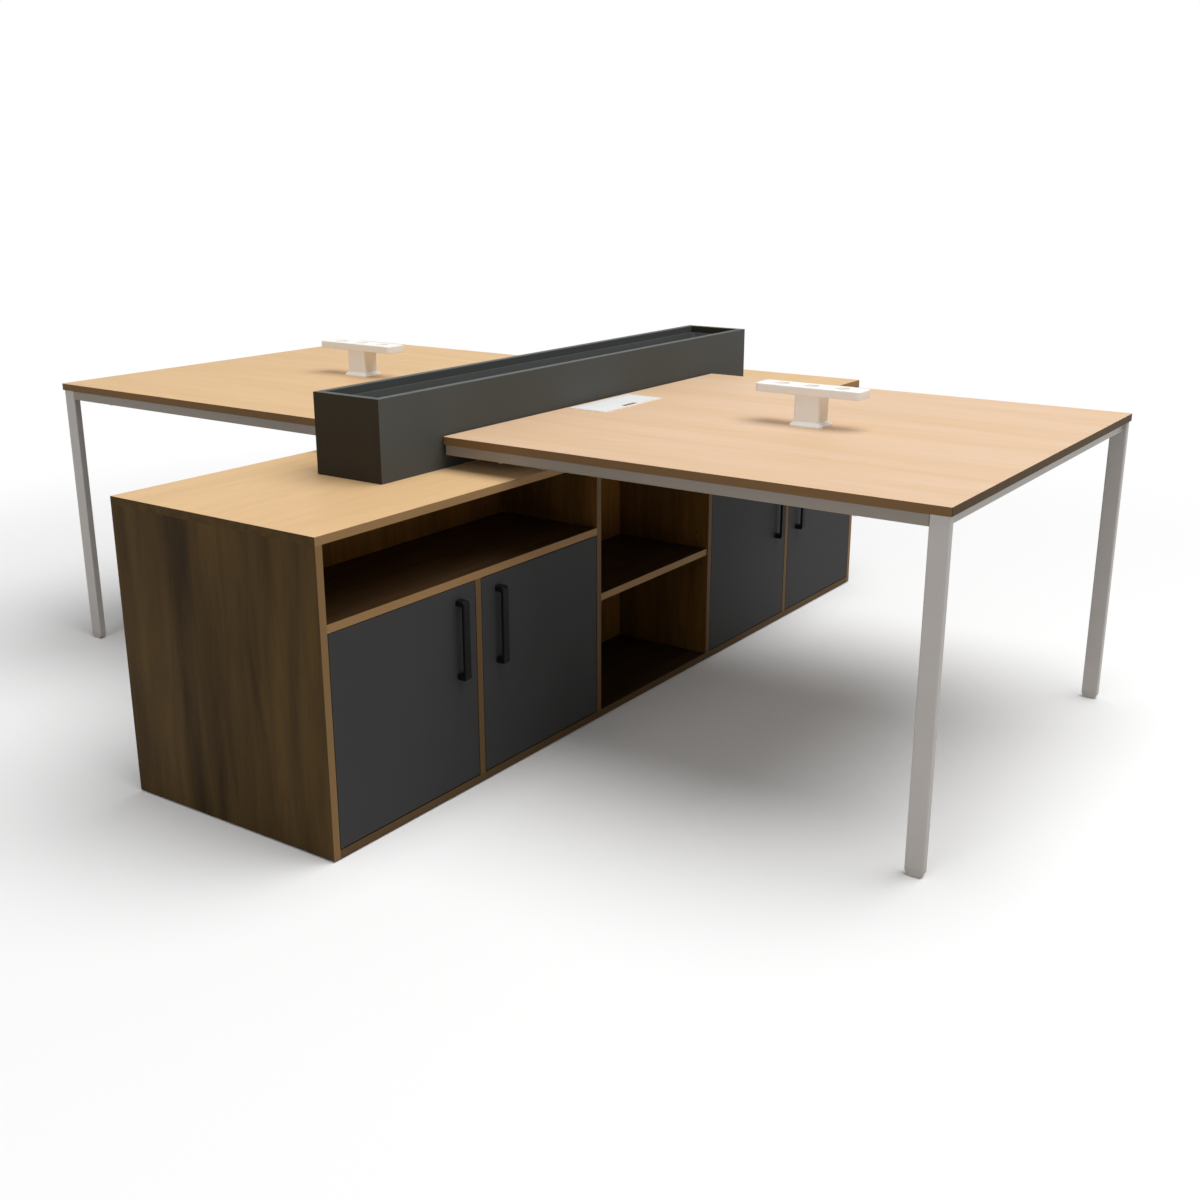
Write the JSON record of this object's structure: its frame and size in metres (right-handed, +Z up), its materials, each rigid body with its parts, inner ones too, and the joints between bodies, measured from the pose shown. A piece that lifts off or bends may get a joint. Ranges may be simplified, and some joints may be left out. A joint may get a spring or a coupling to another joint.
{
  "type": "office workstation desk",
  "caption": "Back-to-back office workstation: worktops on steel legs either side of a two-sided storage cabinet with doors, open shelves and a planter box.",
  "frame": {"origin": "on the floor below the middle of the cabinet", "axes": "+X across the two worktops, +Y along the cabinet, +Z up"},
  "size_m": [2.6, 2.4, 0.86],
  "materials": {
    "light_oak": "satin",
    "dark_walnut": "satin",
    "carcass_board": "satin",
    "door_grey": "matte",
    "planter_grey": "satin",
    "black_metal": "satin",
    "black_steel": "matte",
    "grey_steel": "satin",
    "grey_plastic": "matte",
    "black_plastic": "matte",
    "charcoal_plastic": "matte",
    "white_plastic": "satin",
    "bright_steel": "brushed"
  },
  "bodies": {
    "cabinet": {"cabinet_top": "light_oak", "end_panel_near": "dark_walnut", "end_panel_far": "dark_walnut", "cabinet_bottom": "carcass_board", "spine_panel": "carcass_board", "slot_shelves": "carcass_board", "door_partitions": "carcass_board", "bay_shelves": "carcass_board", "bay_divider_right_near": "carcass_board", "bay_divider_right_far": "carcass_board", "bay_divider_left_near": "carcass_board", "bay_divider_left_far": "carcass_board", "shelf_pins": "bright_steel", "door_pivot_pins": "bright_steel", "cabinet_glides": "black_plastic", "planter_side_right": "planter_grey", "planter_side_left": "planter_grey", "planter_end_near": "planter_grey", "planter_end_far": "planter_grey", "planter_floor": "planter_grey", "worktop_right": "light_oak", "leg_frame_right": "grey_steel", "side_rail_right_near": "grey_steel", "side_rail_right_far": "grey_steel", "cross_rail_right": "grey_steel", "worktop_left": "light_oak", "leg_frame_left": "grey_steel", "side_rail_left_near": "grey_steel", "side_rail_left_far": "grey_steel", "cross_rail_left": "grey_steel", "leg_feet": "grey_plastic", "rail_standoffs": "black_steel", "rail_screws": "bright_steel", "cable_port_frame_right": "white_plastic", "power_post_right": "white_plastic", "power_bar_right": "white_plastic", "cable_port_frame_left": "white_plastic", "power_post_left": "white_plastic", "power_bar_left": "white_plastic", "power_sockets": "white_plastic", "post_clamp_nuts": "black_plastic"},
    "door_right_1": {"door_right_1": "door_grey", "door_right_1_handle": "black_metal"},
    "door_right_2": {"door_right_2": "door_grey", "door_right_2_handle": "black_metal"},
    "door_right_3": {"door_right_3": "door_grey", "door_right_3_handle": "black_metal"},
    "door_right_4": {"door_right_4": "door_grey", "door_right_4_handle": "black_metal"},
    "cable_port_lid_right": {"cable_port_lid_right": "white_plastic"},
    "door_left_4": {"door_left_4": "door_grey", "door_left_4_handle": "black_metal"},
    "door_left_3": {"door_left_3": "door_grey", "door_left_3_handle": "black_metal"},
    "door_left_2": {"door_left_2": "door_grey", "door_left_2_handle": "black_metal"},
    "door_left_1": {"door_left_1": "door_grey", "door_left_1_handle": "black_metal"},
    "cable_port_lid_left": {"cable_port_lid_left": "white_plastic"},
    "planter_liner": {"planter_liner": "charcoal_plastic"}
  },
  "joints": [
    {"name": "door_right_1_pivot", "type": "hinge", "parent": "cabinet", "child": "door_right_1", "pos_m": [0.295, -1.173, 0.252], "axis": [0, 0, -1], "range_deg": [0, 105]},
    {"name": "door_right_2_pivot", "type": "hinge", "parent": "cabinet", "child": "door_right_2", "pos_m": [0.295, -0.286, 0.252], "axis": [0, 0, 1], "range_deg": [0, 105]},
    {"name": "door_right_3_pivot", "type": "hinge", "parent": "cabinet", "child": "door_right_3", "pos_m": [0.295, 0.286, 0.252], "axis": [0, 0, -1], "range_deg": [0, 105]},
    {"name": "door_right_4_pivot", "type": "hinge", "parent": "cabinet", "child": "door_right_4", "pos_m": [0.295, 1.173, 0.252], "axis": [0, 0, 1], "range_deg": [0, 105]},
    {"name": "cable_port_lid_right_hinge", "type": "hinge", "parent": "cabinet", "child": "cable_port_lid_right", "pos_m": [0.1325, 0, 0.7475], "axis": [0, -1, 0], "range_deg": [0, 95]},
    {"name": "door_left_4_pivot", "type": "hinge", "parent": "cabinet", "child": "door_left_4", "pos_m": [-0.295, 1.173, 0.252], "axis": [0, 0, -1], "range_deg": [0, 105]},
    {"name": "door_left_3_pivot", "type": "hinge", "parent": "cabinet", "child": "door_left_3", "pos_m": [-0.295, 0.286, 0.252], "axis": [0, 0, 1], "range_deg": [0, 105]},
    {"name": "door_left_2_pivot", "type": "hinge", "parent": "cabinet", "child": "door_left_2", "pos_m": [-0.295, -0.286, 0.252], "axis": [0, 0, -1], "range_deg": [0, 105]},
    {"name": "door_left_1_pivot", "type": "hinge", "parent": "cabinet", "child": "door_left_1", "pos_m": [-0.295, -1.173, 0.252], "axis": [0, 0, 1], "range_deg": [0, 105]},
    {"name": "cable_port_lid_left_hinge", "type": "hinge", "parent": "cabinet", "child": "cable_port_lid_left", "pos_m": [-0.1325, 0, 0.7475], "axis": [0, 1, 0], "range_deg": [0, 95]},
    {"name": "planter_liner_lift", "type": "slide", "parent": "cabinet", "child": "planter_liner", "axis": [0, 0, 1], "range_m": [0, 0.2]}
  ]
}
